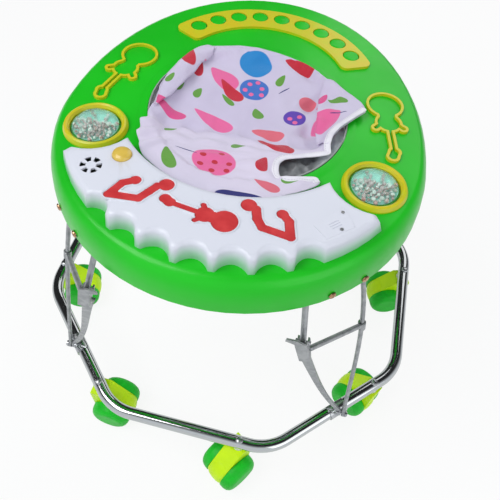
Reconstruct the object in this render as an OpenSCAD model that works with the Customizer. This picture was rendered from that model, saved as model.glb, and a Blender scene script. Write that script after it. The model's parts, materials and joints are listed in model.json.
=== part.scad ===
// Round baby walker: moulded tray on a folding leg frame, over an
// octagonal tube ring on eight twin-wheel casters. Millimetres, +Z up.
// The front of the walker faces -Y, and Z = 0 is the floor.

/* [Base ring] */
// Radius of the tube ring's centre line, measured to a corner
ring_r = 320; // [290:1:390]
// Outer diameter of the ring's tube
tube_d = 19; // [16:0.5:24]
// Wall of the ring's tube
tube_wall = 1.5; // [1:0.1:2.5]
// Height of the tube's centre above the floor
ring_z = 98; // [94:1:120]
// Centre-line radius of each bend
bend_r = 75; // [50:1:90]

/* [Casters] */
// Radius of a wheel
wheel_r = 31; // [26:0.5:33]
// Width over both wheels of one caster
caster_w = 67; // [58:1:76]
// Width of the hood between the wheels
hood_w = 29; // [26:1:32]
// Distance from the swivel bolt to the axle
trail = 18.5; // [14:0.5:20]
// Distance from the middle of a side to its caster bolt
caster_shift = 77; // [60:1:80]
// Radius of the caster bolt
bolt_r = 3; // [2.5:0.1:3.5]
// Radius of the wheel's axle stub
axle_r = 4; // [3:0.5:5]

/* [Tray] */
// Half of the tray's width at the skirt's lower edge
tray_a = 226; // [205:1:260]
// Length of the tray ahead of its widest line
tray_front = 226; // [224:1:262]
// Length of the tray behind its widest line
tray_rear = 294; // [270:1:340]
// Height of the flat deck above the floor
deck_z = 478; // [470:1:520]
// Height of the skirt below the deck
skirt_h = 45; // [44:1:60]
// Wall of the moulding
tray_wall = 3; // [2.5:0.1:4]
// Radius of the seat opening
opening_r = 121; // [105:1:126]

/* [Music panel] */
// Height of the panel above the deck
panel_h = 22; // [20:1:28]
// Number of scallops along the front edge
scallops = 7; // [5:2:7]
// Wall of the panel's shell
panel_wall = 2.5; // [2:0.1:3]
// Radius of the push button
button_r = 10.5; // [8:0.5:12]
// Travel of the push button
button_travel = 2; // [1:0.1:2.5]
// Radius of the speaker grille
speaker_r = 16.5; // [13:0.5:18]

/* [Rattles and trim] */
// Outer radius of a rattle's ring
rattle_r = 37; // [32:0.5:38]
// Number of beads in each rattle
beads = 18; // [6:1:18]
// Number of round holes in the rear strip
strip_holes = 9; // [5:1:9]
// Radius of a hole in the rear strip
strip_hole_r = 11.3; // [8:0.1:12]

/* [Legs] */
// Height from a foot pin to the pin at the top of the same leg
leg_rise = 330; // [318:1:345]
// Distance that the top pin lies behind the foot pin
leg_back = 42; // [36:0.5:48]
// Diameter of the bent leg rod
rod_d = 6; // [5:0.5:7]
// Diameter of the lock strut
strut_d = 7; // [6:0.5:8]
// Diameter of the brace between the knee and the leg rod
brace_d = 7; // [5:0.5:8]
// Radius of the hinge pins
pin_r = 2.5; // [2:0.1:3]

/* [Seat] */
// Depth of the seat's lowest point below the deck
seat_depth = 150; // [110:1:190]
// Thickness of the padded fabric
seat_wall = 4; // [3:0.5:6]

/* [Hidden] */

eps = 0.01;
lap = 0.5;              // how far a straight length of tube runs into a bend
bend_thin = 0.02;       // how much a bend is thinner than the straight tube
fit = 0.05;             // running clearance of a pin in its eye
gap = 0.3;              // clearance between pieces that move past each other
tube_r = tube_d / 2;
apothem = ring_r * cos(22.5);
side_len = 2 * ring_r * sin(22.5);
straight_len = side_len - 2 * bend_r * tan(22.5);

// Each caster's trail points this way, in degrees from +X. A caster and the
// one opposite it point opposite ways.
caster_turn = [17, -3, -124, 147, 197, 177, 56, -33];

saddle_h = 4;
neck_top = ring_z - tube_r - saddle_h - gap;
neck_r = 12;
neck_foot = 68;         // underside of the neck, above the lock nut
hood_wall = 2.5;
hood_r = wheel_r - 1;
wheel_gap = 0.5;        // between the hood and a wheel
wheel_in = hood_w / 2 + wheel_gap;
wheel_out = caster_w / 2;

// Direction across side k of the ring, and its middle on the floor plan.
function side_angle(k) = (k - 2) * 45;
function side_out(k) = [sin(side_angle(k)), -cos(side_angle(k))];
function side_along(k) = [cos(side_angle(k)), sin(side_angle(k))];
function caster_at(k) = apothem * side_out(k) + caster_shift * side_along(k);

tray_c = -48;           // Y of the tray's widest line

// Pins of the leg frame. A leg's foot pin and top pin differ by the same
// rise and lean on all four legs, so the tray stays level while it folds.
sleeve_t = 1.8;         // thickness of the bracket that hugs the tube
pin_off = 12;           // pin's offset from the tube's centre, out and up
foot_f = [(apothem + pin_off) * sin(45), -(apothem + pin_off) * cos(45), ring_z + pin_off];
top_f = [166, foot_f[1] + leg_back, foot_f[2] + leg_rise];
rear_shift = 40;        // rear bracket, measured from the middle of its side
rear_off = 15;          // rear foot pin's offset from the tube, along X and along Y
rear_mid = apothem * side_out(5) - rear_shift * side_along(5);
foot_r = [rear_mid[0] - rear_off, rear_mid[1] - rear_off, ring_z - 3];
top_r = [55, foot_r[1] + leg_back, foot_r[2] + leg_rise];

// Knee of the front leg, where the lock strut drops into its catch.
knee = [124, -256, 384];
strut_top = [112, tray_c - (tray_front - 7) * 0.82 + 8, deck_z - 26];
ear_in = 5.2;           // half of the space between two ears
ear_t = 2;              // thickness of an ear
eye_r = 5;              // radius of the eye at the end of a leg
pin_head_r = pin_r + 1.3;

// Seat opening, music panel and trim on the tray's deck.
opening_c = [0, -20];
panel_c = [0, -50];     // centre of the panel's front curve
panel_r = 206;          // radius at the tips of the scallops
panel_in = 150;         // radius of the panel's foot at the seat
rattle_c = [162, -100];
rattle_gap = 52;        // radius of the panel's hollow end round a rattle
scallop_deep = 11;
scallop_pitch = 10.8;
button_c = [-107, -153];
speaker_c = [-132, -176];
door_c = [126, -182];
door_turn = 45;
door_screws = [[5, 18], [7, -4]];
strip_c = [0, 45];
strip_r = 135;          // radius of the row of holes
strip_pitch = 13;
bump_h = 3;             // height of the deck's round keys
trim_h = 3.5;           // height of the raised trims
lip_h = 2.5;            // bead round the seat opening
lip_w = 8;

// ---------- shared shapes ----------

module on_side(k) {
  rotate([0, 0, side_angle(k)]) translate([0, -apothem, ring_z]) children();
}

module at_caster(k) {
  translate([caster_at(k)[0], caster_at(k)[1], 0]) rotate([0, 0, caster_turn[k]]) children();
}

module both_sides() {
  children();
  mirror([1, 0, 0]) children();
}

module along_x(r, h) {
  rotate([0, 90, 0]) cylinder(r = r, h = h, center = true, $fn = 32);
}

function unit(v) = v / norm(v);
function mix(a, b, t) = a * (1 - t) + b * t;
function ray(a) = [cos(a), sin(a)];
function arc(c, r, a1, a2, n) = [for (i = [0:n]) c + r * ray(mix(a1, a2, i / n))];
function bezier(p, t) = len(p) == 1 ? p[0]
  : bezier([for (i = [0:len(p) - 2]) mix(p[i], p[i + 1], t)], t);

// Stacks closed outlines with the same number of points into one solid.
module loft(rings) {
  n = len(rings[0]);
  m = len(rings);
  polyhedron(
    points = [for (ring = rings) for (p = ring) p],
    faces = concat(
      [[for (i = [0:n - 1]) i]],
      [for (j = [0:m - 2]) for (i = [0:n - 1])
        [j * n + i, (j + 1) * n + i, (j + 1) * n + (i + 1) % n, j * n + (i + 1) % n]],
      [[for (i = [n - 1:-1:0]) (m - 1) * n + i]]));
}

// As loft, but the last outline meets the first again, so it makes a closed band.
module wrap(rings) {
  n = len(rings[0]);
  m = len(rings);
  polyhedron(
    points = [for (ring = rings) for (p = ring) p],
    faces = [for (j = [0:m - 1]) for (i = [0:n - 1]) let (j2 = (j + 1) % m, i2 = (i + 1) % n)
      [j * n + i, j2 * n + i, j2 * n + i2, j * n + i2]]);
}

// Sections of a bar: each is a point with two half-axes across it.
function section(c, u, v, sides) = sides == 4
  ? [c - u - v, c + u - v, c + u + v, c - u + v]
  : [for (i = [0:sides - 1]) c + u * cos(i * 360 / sides) + v * sin(i * 360 / sides)];

function heading(path, i) =
  unit(path[min(i + 1, len(path) - 1)] - path[max(i - 1, 0)]);

// A round rod that follows a path of points.
module rod(path, r, sides = 10) {
  loft([for (i = [0:len(path) - 1])
    let (d = heading(path, i), u = unit(cross([0, 1, 0.001], d)), v = cross(d, u))
      section(path[i], u * r, v * r, sides)]);
}

// A pressed strip whose width lies along X and changes along its path.
module strip(path, widths, t) {
  loft([for (i = [0:len(path) - 1])
    let (d = heading(path, i), u = unit([1, 0, 0] - d * d[0]), v = cross(d, u))
      section(path[i], u * widths[i] / 2, v * t / 2, 4)]);
}

// A line of bars through the points, with a slightly wider knob at each.
module stroke(pts, w) {
  for (p = pts) translate(p) circle(r = w * 0.53, $fn = 24);
  for (i = [0:len(pts) - 2]) {
    d = pts[i + 1] - pts[i];
    translate(pts[i]) rotate([0, 0, atan2(d[1], d[0])]) translate([0, -w / 2]) square([norm(d), w]);
  }
}

// ---------- base ring ----------

module ring_core(r) {
  for (k = [0:7]) {
    on_side(k) rotate([0, 90, 0]) cylinder(r = r, h = straight_len + 2 * lap, center = true, $fn = 48);
    rotate([0, 0, side_angle(k) + 22.5]) translate([0, -(ring_r - bend_r / cos(22.5)), ring_z])
      rotate([0, 0, -112.5]) rotate_extrude(angle = 45, $fn = 96)
        translate([bend_r, 0]) circle(r = r - bend_thin, $fn = 48);
  }
}

module base_ring() {
  color("silver") difference() {
    ring_core(tube_r);
    ring_core(tube_r - tube_wall);
    for (k = [0:7]) on_side(k) translate([caster_shift, 0, 0])
      cylinder(r = bolt_r + fit, h = 3 * tube_r, center = true, $fn = 32);
  }
}

module caster_bolts() {
  head_z = ring_z + tube_r;
  color("silver") for (k = [0:7]) at_caster(k) {
    translate([0, 0, head_z]) rotate_extrude($fn = 32)
      polygon([[0, 0], [5.5, 0], [5.5, 1.2], [4.4, 2.8], [2.4, 3.6], [0, 3.8]]);
    translate([0, 0, neck_foot - gap - 6]) cylinder(r = bolt_r, h = head_z - neck_foot + gap + 6.5, $fn = 32);
    translate([0, 0, neck_foot - gap - 5]) cylinder(r = 5.5, h = 5, $fn = 6);
  }
}

module caster_saddles() {
  color("white") for (k = [0:7]) difference() {
    at_caster(k) translate([0, 0, neck_top + gap]) cylinder(r = 9, h = saddle_h + 5, $fn = 40);
    on_side(k) rotate([0, 90, 0]) cylinder(r = tube_r, h = side_len, center = true, $fn = 48);
    at_caster(k) cylinder(r = bolt_r + fit, h = ring_z, $fn = 32);
  }
}

// Sleeve over half of the tube with two ears that carry a foot pin.
module foot_bracket(k, shift, foot, side) {
  reach = foot - concat(apothem * side_out(k) + shift * side_along(k), [ring_z]);
  lean = side * atan2(reach[2], norm([reach[0], reach[1]]));
  difference() {
    union() {
      on_side(k) translate([shift, 0, 0]) rotate([side > 0 ? -lean : 180 - lean, 0, 0])
        rotate([0, 90, 0]) difference() {
          cylinder(r = tube_r + sleeve_t, h = 30, center = true, $fn = 48);
          translate([-2 * tube_d, -eps, -20]) cube([4 * tube_d, 2 * tube_d, 40]);
        }
      for (s = [-1, 1]) translate(foot + [s * (ear_in + ear_t / 2), 0, 0]) {
        along_x(eye_r, ear_t);
        rotate([0, 90, 0]) linear_extrude(height = ear_t, center = true)
          polygon([[-eye_r, 0], [0, -eye_r * sign(-reach[1])],
            [reach[2] + 2, -reach[1] + 9 * sign(-reach[1]) + s * sign(side) * 3],
            [reach[2] - 7, -reach[1] - 2 * sign(-reach[1])]]);
      }
    }
    on_side(k) rotate([0, 90, 0]) cylinder(r = tube_r, h = side_len, center = true, $fn = 48);
    translate(foot) {
      along_x(pin_r, 60);
      along_x(eye_r + gap, 2 * ear_in);
      for (s = [-1, 1]) translate([s * (ear_in + ear_t + 3), 0, 0]) along_x(pin_head_r + gap, 6);
    }
  }
}

module foot_brackets() {
  color("gray") both_sides() {
    foot_bracket(3, 0, foot_f, 1);
    foot_bracket(5, -rear_shift, foot_r, -1);
  }
}

module hinge_pin(at) {
  half = ear_in + ear_t;
  translate(at) {
    along_x(pin_r - eps, 2 * half);
    for (s = [-1, 1]) translate([s * (half + 0.75), 0, 0]) along_x(pin_head_r, 1.5);
  }
}

module foot_pins() {
  color("silver") both_sides() {
    hinge_pin(foot_f);
    hinge_pin(foot_r);
  }
}

// ---------- casters ----------

function tangent_point(c, r, q, s) =
  let (d = norm(q - c), a = acos(r / d), b = atan2(q[1] - c[1], q[0] - c[0]))
    c + r * [cos(b + s * a), sin(b + s * a)];

// Side view of the hood: a disc round the axle, faired up to the neck.
module hood_side() {
  c = [trail, wheel_r];
  left = [-neck_r, neck_top];
  right = [neck_r, neck_top];
  translate(c) circle(r = hood_r, $fn = 64);
  polygon([left, tangent_point(c, hood_r, left, 1), c, tangent_point(c, hood_r, right, -1), right]);
}

// The barrel's crown, turned about the axle.
module hood_crown() {
  w = hood_w / 2;
  translate([trail, 0, wheel_r]) rotate([90, 0, 0]) rotate_extrude($fn = 72)
    polygon([[hood_r - 4, -w + 0.6], [hood_r - 0.4, -w + 0.6], [hood_r + 1.4, -w + 4], [hood_r + 2.4, -w + 8],
      [hood_r + 2.8, 0], [hood_r + 2.4, w - 8], [hood_r + 1.4, w - 4], [hood_r - 0.4, w - 0.6],
      [hood_r - 4, w - 0.6]]);
}

module caster_hood(k) {
  color("greenyellow") at_caster(k) difference() {
    union() {
      rotate([90, 0, 0]) linear_extrude(height = hood_w, center = true) hood_side();
      hood_crown();
    }
    translate([trail, 0, wheel_r]) rotate([90, 0, 0])
      cylinder(r = hood_r - hood_wall, h = hood_w - 2 * hood_wall, center = true, $fn = 64);
    translate([trail - 2 * wheel_r, -hood_w, -10]) cube([4 * wheel_r, 2 * hood_w, 17]);
    translate([trail, 0, wheel_r]) rotate([90, 0, 0])
      cylinder(r = axle_r + fit, h = 2 * hood_w, center = true, $fn = 32);
    translate([0, 0, wheel_r]) cylinder(r = 6.5, h = neck_foot - wheel_r, $fn = 32);
    cylinder(r = bolt_r + fit, h = ring_z, $fn = 32);
  }
}

// Half section of a wheel; x is the radius, y the distance from the middle.
module wheel_section(core_r) {
  o = wheel_out;
  i = wheel_in;
  polygon([[core_r, i], [9, i], [9, o - 4], [wheel_r - 11, o - 4], [wheel_r - 4, o - 9],
    [wheel_r - 3, i + 1], [wheel_r - 3, i], [wheel_r, i], [wheel_r, i + 5],
    [wheel_r - 0.6, i + 9], [wheel_r - 2.2, i + 13], [wheel_r - 5, i + 16],
    [wheel_r - 8.5, o - 0.6], [wheel_r - 12, o], [core_r, o]]);
}

module caster_wheels(k) {
  color("limegreen") at_caster(k) translate([trail, 0, wheel_r]) {
    rotate([90, 0, 0]) {
      rotate_extrude($fn = 72) wheel_section(0);
      translate([0, 0, -wheel_in - 8]) cylinder(r = axle_r, h = 2 * wheel_in + 8 + eps, $fn = 32);
    }
    rotate([-90, 0, 0]) difference() {
      rotate_extrude($fn = 72) wheel_section(0);
      translate([0, 0, wheel_in - eps]) cylinder(r = axle_r + eps, h = 8 + 2 * eps, $fn = 32);
    }
  }
}

// ---------- legs ----------

strip_path = [for (i = [0:12]) bezier([foot_f + [-4.8, 0, 8],
  foot_f + [-44, -8, 70], knee + [24, 6, -84], knee + [2, 2, -24]], i / 12)];
strip_w = [for (i = [0:12]) 7 + 7 * pow(i / 12, 2)];
rod_path = [for (i = [0:14]) bezier([foot_f + [1.9, 0, 3.8],
  foot_f + [-9, 18, 108], top_f + [36, 4, -110], top_f + [0, 0, -3]], i / 14)];
catch_in = strut_d / 2 + 1;      // half of the catch's inner width
catch_t = 2;
catch_tilt = [4, -14, 0];

// Channel at the knee. Its flanges are notched for the strut's cross-pin,
// and its web runs up into a finger tab.
module knee_catch() {
  w = catch_in + catch_t;
  translate(knee) difference() {
    rotate(catch_tilt) {
      translate([-w, -10, -32]) cube([2 * w, catch_t, 44]);
      for (s = [-1, 1]) translate([s * (catch_in + catch_t / 2), 0, 0]) rotate([90, 0, 90])
        linear_extrude(height = catch_t, center = true)
          polygon([[-10, -32], [-4, -32], [7, -8], [7, 5], [-10, 12]]);
      translate([-w, -10, 12]) rotate([-90, 0, 0]) linear_extrude(height = catch_t)
        polygon([[0, 0], [2 * w, 0], [4, -9], [-7, -11], [-9, -6]]);
    }
    along_x(pin_r + gap, 6 * w);
    translate([-3 * w, -pin_r - gap, 0]) cube([6 * w, 30, 30]);
  }
}

module leg_strip() {
  color("gray") difference() {
    union() {
      strip(strip_path, strip_w, 3);
      translate(foot_f + [-3.2, 0, 0]) along_x(eye_r - 0.5, 3.4);
      translate(foot_f + [-4.9, -1.5, 0]) cube([3.4, 3, 9]);
      knee_catch();
    }
    translate(foot_f) along_x(pin_r + fit, 40);
  }
}

module leg_rod() {
  color("gray") difference() {
    union() {
      rod(rod_path, rod_d / 2);
      translate(foot_f + [2.6, 0, 0]) along_x(eye_r, 4.6);
      translate(top_f) along_x(eye_r, 2 * (ear_in - gap));
    }
    translate(foot_f) along_x(pin_r + fit, 40);
    translate(top_f) along_x(pin_r + fit, 40);
  }
}

// Plated brace from the knee down to a collar on the leg rod.
module knee_brace() {
  at = rod_path[9];
  d = unit(rod_path[10] - rod_path[8]);
  start = knee + [catch_in + catch_t + 4, 2, -14];
  color("silver") difference() {
    union() {
      rod([start, mix(start, at, 0.5), at], brace_d / 2);
      rod([at - d * 6, at + d * 6], rod_d / 2 + 2, 16);
      translate(start) sphere(r = brace_d / 2, $fn = 24);
    }
    leg_strip();
    leg_rod();
  }
}

rear_path = [for (i = [0:12]) bezier([foot_r + [0, 0, 4],
  foot_r + [-30, 16, 110], top_r + [40, 8, -110], top_r + [0, 0, -6]], i / 12)];
rear_w = [for (i = [0:12]) 7.4 + 8.6 * sin(i * 15)];

module rear_leg() {
  color("gray") difference() {
    union() {
      strip(rear_path, rear_w, 3.5);
      for (p = [foot_r, top_r]) translate(p) along_x(eye_r, 2 * (ear_in - gap));
    }
    for (p = [foot_r, top_r]) translate(p) along_x(pin_r + fit, 40);
  }
}

module lock_strut() {
  d = unit(strut_top - knee);
  color("gray") difference() {
    union() {
      rod([knee - d * 5, mix(knee, strut_top, 0.3), mix(knee, strut_top, 0.7), strut_top - d * 3],
        strut_d / 2, 16);
      translate(knee) along_x(pin_r, 2 * (catch_in + catch_t) + 4);
      translate(strut_top) along_x(eye_r, 2 * (ear_in - gap));
    }
    translate(strut_top) along_x(pin_r + fit, 40);
  }
}

// ---------- tray ----------

tray_steps = 72;

function tray_edge(u, inset) = let (b = (sin(u) < 0 ? tray_front : tray_rear) - inset)
  [(tray_a - inset) * cos(u), tray_c + b * sin(u)];
function opening_edge(u, grow) = opening_c + (opening_r + grow) * [cos(u), sin(u)];

// Rounding from the skirt's lower edge up to the deck: inset, depth below the deck.
shoulder = [[0, skirt_h], [0.8, 32], [2.5, 20], [6, 10], [11, 3.5], [18, 0]];

function tray_ring(u) = concat(
  [for (p = shoulder) concat(tray_edge(u, p[0]), deck_z - p[1])],
  [for (p = [[lip_w + 4, 0], [lip_w, lip_h], [0, lip_h], [0, -14], [tray_wall, -14],
      [tray_wall, -tray_wall]])
    concat(opening_edge(u, p[0]), deck_z + p[1])],
  [for (i = [len(shoulder) - 1:-1:0]) let (p = shoulder[i])
    concat(tray_edge(u, p[0] + tray_wall), deck_z - (i == 0 ? p[1] : p[1] + tray_wall))]);

module tray_shell() {
  wrap([for (i = [tray_steps - 1:-1:0]) tray_ring(i * 360 / tray_steps)]);
}

// The tray's outside as one block, to trim the pads that grow from it.
module tray_block(inset) {
  loft([for (p = shoulder) [for (i = [0:tray_steps - 1])
    concat(tray_edge(i * 360 / tray_steps, p[0] + inset), deck_z - p[1] - (inset > 0 ? inset : 0))]]);
}

// Places on the skirt and under the deck where the leg hinges are fixed.
rivet_z = top_f[2];
rivet_x = [138, 169];
function skirt_at(x, inset) = [x, tray_c - (tray_front - inset) * sqrt(1 - pow(x / (tray_a - inset), 2))];
skirt_a = skirt_at(rivet_x[0], tray_wall + 1);
skirt_b = skirt_at(rivet_x[1], tray_wall + 1);
skirt_turn = atan2(skirt_b[1] - skirt_a[1], skirt_b[0] - skirt_a[0]);
plate_t = 2;
pad_in = 2;             // how far the pads stand in from the skirt's wall
strut_pad_z = deck_z - 14;
rear_pad_z = deck_z - 7;

module at_skirt(p) {
  translate([p[0], p[1], rivet_z]) rotate([0, 0, skirt_turn]) children();
}

module tray_pads() {
  for (p = [skirt_a, skirt_b]) at_skirt(p) translate([0, pad_in, 0]) rotate([90, 0, 0])
    cylinder(r = 7, h = 30, $fn = 32);
  translate([strut_top[0] - 13, strut_top[1] - 10, strut_pad_z]) cube([26, 20, 20]);
  translate([top_r[0] - 16, top_r[1] - 12, rear_pad_z]) cube([32, 24, 20]);
}

// Centre line points of the strip holes and their keys.
function strip_hole(i) = let (a = 90 - (i - (strip_holes - 1) / 2) * strip_pitch)
  strip_c + strip_r * [cos(a), sin(a)];

module tray() {
  color("limegreen") difference() {
    union() {
      tray_shell();
      intersection() {
        tray_block(0.5);
        both_sides() tray_pads();
      }
      for (i = [0:strip_holes - 1]) translate(concat(strip_hole(i), deck_z - 1))
        cylinder(r = strip_hole_r - 1, h = bump_h + 1, $fn = 32);
    }
    both_sides() {
      for (p = [skirt_a, skirt_b]) at_skirt(p) {
        rotate([90, 0, 0]) cylinder(r = 2, h = 80, center = true, $fn = 24);
        translate([0, -4.2, 0]) rotate([90, 0, 0]) cylinder(r = 4.8, h = 12, $fn = 24);
      }
    }
  }
}

module hinge_ears(at, z_top, depth) {
  for (s = [-1, 1]) translate(at + [s * (ear_in + ear_t / 2), 0, 0]) {
    along_x(eye_r, ear_t);
    translate([-ear_t / 2, -depth / 2, 0]) cube([ear_t, depth, z_top - at[2]]);
  }
}

module tray_hinges() {
  color("gray") both_sides() {
    // Front hinge: a plate riveted to the skirt, with two folded ears.
    difference() {
      union() {
        at_skirt(mix(skirt_a, skirt_b, 0.5)) translate([-28, pad_in, -8]) cube([56, plate_t, 16]);
        for (s = [-1, 1]) translate(top_f + [s * (ear_in + ear_t / 2), 0, 0]) {
          along_x(eye_r, ear_t);
          translate([-ear_t / 2, -34, -eye_r]) cube([ear_t, 34, 2 * eye_r]);
        }
      }
      at_skirt(mix(skirt_a, skirt_b, 0.5)) translate([-60, pad_in - 40, -30]) cube([120, 40, 60]);
      translate(top_f) along_x(pin_r, 40);
      for (p = [skirt_a, skirt_b]) at_skirt(p)
        rotate([90, 0, 0]) cylinder(r = 2, h = 60, center = true, $fn = 24);
    }
    // Hanger for the lock strut and the taller one for the rear leg.
    difference() {
      union() {
        translate([strut_top[0] - 11, strut_top[1] - 8, strut_pad_z - plate_t]) cube([22, 16, plate_t]);
        hinge_ears(strut_top, strut_pad_z - plate_t, 10);
      }
      translate(strut_top) along_x(pin_r, 40);
    }
    difference() {
      union() {
        translate([top_r[0] - 14, top_r[1] - 10, rear_pad_z - plate_t]) cube([28, 20, plate_t]);
        hinge_ears(top_r, rear_pad_z - plate_t, 10);
        hinge_ears(top_r + [0, 0, 26], rear_pad_z - plate_t, 20);
      }
      translate(top_r) along_x(pin_r, 40);
    }
  }
}

module tray_rivets() {
  color("silver") both_sides() for (p = [skirt_a, skirt_b]) at_skirt(p) rotate([90, 0, 0]) {
    translate([0, 0, -pad_in - plate_t]) cylinder(r = 2 - eps, h = 4.2 + pad_in + plate_t, $fn = 24);
    translate([0, 0, 4.2]) rotate_extrude($fn = 24) polygon([[0, 0], [4.4, 0], [4, 1.4], [2.4, 2.2], [0, 2.4]]);
    translate([0, 0, -pad_in - plate_t - 1.2]) cylinder(r = 3.4, h = 1.2, $fn = 24);
  }
}

module hinge_pins() {
  color("silver") both_sides() {
    hinge_pin(top_f);
    hinge_pin(top_r);
    hinge_pin(strut_top);
  }
}

// ---------- music panel ----------

scallop_span = scallops * scallop_pitch / 2;
scallop_steps = 12;
valley_half = 0.41;     // half of a valley, as a share of the pitch

// Front edge: wide round valleys between narrow tips, plain past the last tip.
function front_r(phi, inset) = panel_r - inset - (abs(phi) > scallop_span ? 0 :
  let (d = phi / scallop_pitch - round(phi / scallop_pitch), u = min(1, abs(d) / valley_half))
    scallop_deep * pow(1 - u * u, 0.8));

// Angle, seen from c, where a circle of radius r meets the panel's hollow end.
function end_angle(c, r, inset) =
  let (d = rattle_c - c, n = norm(d), q = rattle_gap + inset)
    atan2(d[0], -d[1]) - acos((r * r + n * n - q * q) / (2 * n * r));

function polar(c, r, phi) = c + r * [sin(phi), -cos(phi)];
function flip(pts) = [for (i = [len(pts) - 1:-1:0]) [-pts[i][0], pts[i][1]]];

function panel_outline(inset) =
  let (corner = 8,
    tip = end_angle(panel_c, panel_r - inset, inset) - 3,
    outer = polar(panel_c, panel_r - corner - inset, end_angle(panel_c, panel_r - corner - inset, inset)),
    seat_r = panel_in + inset,
    seat_phi = end_angle(opening_c, seat_r, inset),
    inner = polar(opening_c, seat_r, seat_phi),
    a1 = atan2(outer[1] - rattle_c[1], outer[0] - rattle_c[0]),
    a2 = atan2(inner[1] - rattle_c[1], inner[0] - rattle_c[0]),
    half_front = concat([for (i = [1:scallop_steps * scallops / 2]) let (f = i * scallop_pitch / scallop_steps)
        polar(panel_c, front_r(f, inset), f)],
      [for (i = [1:4]) let (f = mix(scallop_span, tip, i / 4)) polar(panel_c, front_r(f + eps, inset), f)]),
    half_end = [for (i = [0:6]) let (a = mix(a1, a2, i / 6))
      rattle_c + (rattle_gap + inset) * [cos(a), sin(a)]],
    half_seat = [for (i = [1:10]) let (f = mix(seat_phi, 0, i / 10)) polar(opening_c, seat_r, f)],
    right = concat(half_front, half_end, half_seat))
  concat([polar(panel_c, front_r(0, inset), 0)], right, [for (p = flip(right)) if (abs(p[0]) > eps) p]);

// Section of the panel's wall: inset and height, up its outside and down its inside.
panel_wall_section = [[0, 0], [1.5, panel_h - 12], [2.6, panel_h - 4.5], [4, panel_h - 2],
  [6, panel_h - 0.5], [10, panel_h - 0.05], [10, panel_h - panel_wall + 0.05],
  [panel_wall + 4, panel_h - panel_wall - 1], [panel_wall + 1.5, panel_h - 12], [panel_wall, 0]];
plate_inset = 8.9;      // where the flat plate laps the wall's rounded edge

module panel_shell() {
  wrap([for (l = panel_wall_section) [for (p = panel_outline(l[0])) concat(p, deck_z + l[1])]]);
  translate([0, 0, panel_top - panel_wall]) linear_extrude(height = panel_wall)
    polygon(panel_outline(plate_inset));
}

inlay_t = 1.2;
panel_top = deck_z + panel_h;

// A beamed pair of notes, from the first head by its stem and the beam to the second head.
note_left = [[-49, -180], [-57, -184], [-63, -194], [-70, -205], [-100, -208], [-92, -190], [-81, -183]];
note_right = [[38, -182], [46, -185], [50, -197], [57, -206], [86, -210], [81, -191], [73, -184]];

module note_shape(n, grow) {
  stroke(n, 10 + grow);
  translate(n[0]) circle(r = 8.5 + grow / 2, $fn = 32);
  translate(n[6]) circle(r = 6.4 + grow / 2, $fn = 32);
}

// A guitar seen flat, its neck along -X from the small bout at the origin.
module guitar_shape(low, up, between, neck, bar, grow) {
  stroke([[-neck, 0], [0, 0]], bar + grow);
  stroke([[-neck - bar * 0.9, bar * 0.35], [-neck, 0]], bar * 1.7 + grow);
  for (s = [-1, 1]) stroke([[-up * 0.6, s * up * 1.05], [0, s * up * 0.4]], up * 0.6 + grow);
  stroke([[0, 0], [between, 0]], up * 1.5 + grow);
  circle(r = up + grow / 2, $fn = 40);
  translate([between, 0]) circle(r = low + grow / 2, $fn = 48);
}

module panel_guitar(grow) {
  translate([-1, -206]) rotate([0, 0, -8]) guitar_shape(13.8, 10, 21, 38, 7, grow);
}

module speaker_slots() {
  for (i = [0:5]) rotate([0, 0, i * 60 + 10]) difference() {
    intersection() {
      circle(r = speaker_r - 5, $fn = 48);
      polygon([[0, 0], [30, -10.5], [30, 10.5]]);
    }
    circle(r = 5.5, $fn = 32);
  }
}

// The door narrows toward the panel's hollow end.
module door_plate(grow, h) {
  c = door_c;
  translate([c[0], c[1], 0]) linear_extrude(height = h)
    polygon([for (p = [[-21, -7], [-5, -19.5], [19, 2.5], [14, 13], [4, 25]])
      p * (1 + grow / norm(p))]);
}

module music_panel() {
  color("white") difference() {
    union() {
      panel_shell();
      translate([0, 0, panel_top - inlay_t]) linear_extrude(height = inlay_t + 1) difference() {
        union() {
          note_shape(note_left, 3);
          note_shape(note_right, 3);
          panel_guitar(3);
        }
        note_shape(note_left, 0);
        note_shape(note_right, 0);
        panel_guitar(0);
      }
      translate(concat(button_c, panel_top - 8)) cylinder(r = button_r + 1.4, h = 7, $fn = 48);
    }
    translate([0, 0, panel_top - inlay_t]) linear_extrude(height = 5) {
      note_shape(note_left, 0);
      note_shape(note_right, 0);
      panel_guitar(0);
    }
    translate(concat(speaker_c, panel_top - 6)) linear_extrude(height = 10) speaker_slots();
    translate(concat(button_c, panel_top - 12)) cylinder(r = button_r + gap, h = 20, $fn = 48);
    translate([0, 0, panel_top - 1.6]) door_plate(0.25, 5);
    translate([0, 0, panel_top - 10]) door_plate(-4, 12);
  }
}

module note_inlays() {
  color("firebrick") translate([0, 0, panel_top - inlay_t]) linear_extrude(height = inlay_t - 0.4) {
    note_shape(note_left, -0.2);
    note_shape(note_right, -0.2);
  }
}

module guitar_inlay() {
  color("firebrick") translate([0, 0, panel_top - inlay_t]) linear_extrude(height = inlay_t - 0.4)
    panel_guitar(-0.2);
}

module speaker() {
  color("dimgray") translate(concat(speaker_c, deck_z)) rotate_extrude($fn = 48)
    polygon([[0, 0], [9, 0], [9, 5], [speaker_r - 3, 11], [speaker_r - 1, 11], [speaker_r - 1, 13],
      [speaker_r - 3, 13], [6, 8], [0, 8]]);
}

module circuit_board() {
  color("darkgreen") translate([-72, -208, deck_z]) rotate([0, 0, 12]) {
    cube([46, 20, 1.6]);
    translate([6, 5, 1.5]) cube([9, 9, 1.6]);
    translate([24, 8, 1.5]) cylinder(r = 3, h = 8, $fn = 24);
    for (x = [2, 44]) translate([x, 2, 1.5]) cylinder(r = 1, h = 2, $fn = 16);
  }
}

cell_r = 5.2;
cell_l = 28;

module at_cells() {
  translate(concat(door_c, deck_z)) rotate([0, 0, door_turn]) children();
}

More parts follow.
